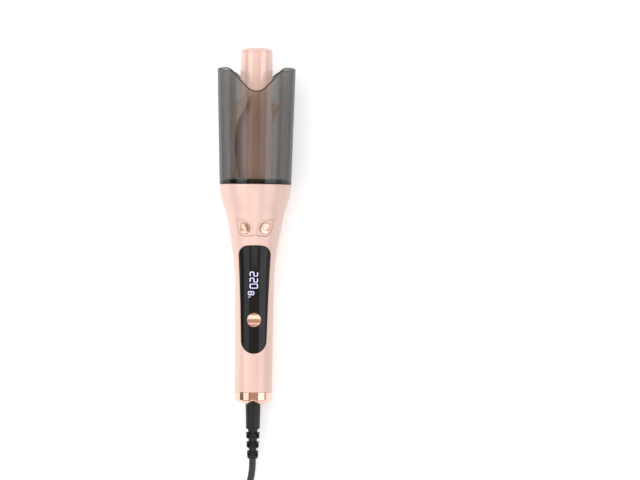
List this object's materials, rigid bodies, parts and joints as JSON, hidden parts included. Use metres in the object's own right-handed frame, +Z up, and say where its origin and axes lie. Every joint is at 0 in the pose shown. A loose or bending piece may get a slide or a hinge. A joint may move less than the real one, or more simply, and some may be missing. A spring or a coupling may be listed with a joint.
{
  "type": "automatic hair curler",
  "caption": "Corded automatic hair curler: a heated barrel and horned rotor inside a smoked guard, on a slim handle with display and buttons.",
  "frame": {"origin": "centre of the bottom of the bounding box of the curler without its cord, hank and plug", "axes": "+X along the tool from tail to tip as it lies on its back, +Z up out of the display side, +Y to the display's left seen from above with the tip away"},
  "size_m": [0.5886, 0.0682, 0.0712],
  "materials": {
    "rose_shell": "satin pearl lacquer",
    "rose_metal": "polished rose-gold plating",
    "barrel_coat": "satin ceramic coating",
    "smoked_clear": "polished smoked clear plastic",
    "black_gloss": "gloss",
    "black_rubber": "matte",
    "dark_plastic": "fine texture",
    "inner_plastic": "matte",
    "steel": "plated",
    "brass": "plated",
    "aluminium": "extruded",
    "circuit_board": "solder mask",
    "copper_lead": "insulated"
  },
  "bodies": {
    "handle": {"smoked_guard": "smoked_clear", "chamber_floor": "dark_plastic", "floor_screws": "steel", "heating_barrel": "barrel_coat", "tip_cap": "barrel_coat", "tip_screw": "steel", "cap_anchor": "steel", "heater_clamps": "aluminium", "ptc_element": "dark_plastic", "thermal_fuse": "steel", "thermistor": "inner_plastic", "heater_leads": "copper_lead", "barrel_mount": "inner_plastic", "mount_screws": "steel", "motor_plate": "dark_plastic", "gearbox": "brass", "motor": "steel", "motor_leads": "copper_lead", "home_sensor": "circuit_board", "front_shell": "rose_shell", "rear_shell": "rose_shell", "shell_screws": "steel", "button_bezels": "rose_shell", "curl_switches": "steel", "switch_boards": "circuit_board", "display_window": "black_gloss", "display_module": "dark_plastic", "power_switch": "steel", "control_board": "circuit_board", "board_chips": "dark_plastic", "power_board": "circuit_board", "power_parts": "dark_plastic", "end_collar": "rose_metal", "swivel_socket": "inner_plastic", "contact_springs": "brass", "mains_leads": "copper_lead", "cord": "black_rubber", "cord_hank": "black_rubber", "cord_tail": "black_rubber", "cord_tie": "dark_plastic", "plug_body": "black_rubber", "plug_pins": "brass"},
    "rotor_set": {"rotor": "rose_shell", "rotor_gear": "inner_plastic", "home_magnet": "steel"},
    "pinion_set": {"drive_pinion": "brass", "motor_shaft": "steel"},
    "left_key": {"left_button": "rose_metal"},
    "right_key": {"right_button": "rose_metal"},
    "power_key": {"power_button": "rose_metal"},
    "cord_swivel": {"swivel_plug": "inner_plastic", "contact_rings": "brass", "strain_relief": "black_rubber"}
  },
  "joints": [
    {"name": "rotor_spin", "type": "hinge", "parent": "handle", "child": "rotor_set", "pos_m": [0.06121, 0, 0.03137], "axis": [0.9969, 0, 0.0791], "continuous": true},
    {"name": "pinion_spin", "type": "hinge", "parent": "handle", "child": "pinion_set", "pos_m": [0.05032, 0, 0.01686], "axis": [0.9969, 0, 0.0791], "continuous": true},
    {"name": "left_button_press", "type": "slide", "parent": "handle", "child": "left_key", "axis": [0.2578, -0.3895, -0.8842], "range_m": [0, 0.0006], "stiffness_N_per_m": 1500, "springref_m": -0.0006},
    {"name": "right_button_press", "type": "slide", "parent": "handle", "child": "right_key", "axis": [0.2578, 0.3895, -0.8842], "range_m": [0, 0.0006], "stiffness_N_per_m": 1500, "springref_m": -0.0006},
    {"name": "power_button_press", "type": "slide", "parent": "handle", "child": "power_key", "axis": [0.0791, 0, -0.9969], "range_m": [0, 0.0006], "stiffness_N_per_m": 1500, "springref_m": -0.0006},
    {"name": "cord_swivel_turn", "type": "hinge", "parent": "handle", "child": "cord_swivel", "pos_m": [-0.12421, 0, 0.01666], "axis": [0.9969, 0, 0.0791], "continuous": true}
  ],
  "couplings": [
    {"joint": "pinion_spin", "follows": "rotor_spin", "ratio": 3.4286}
  ]
}
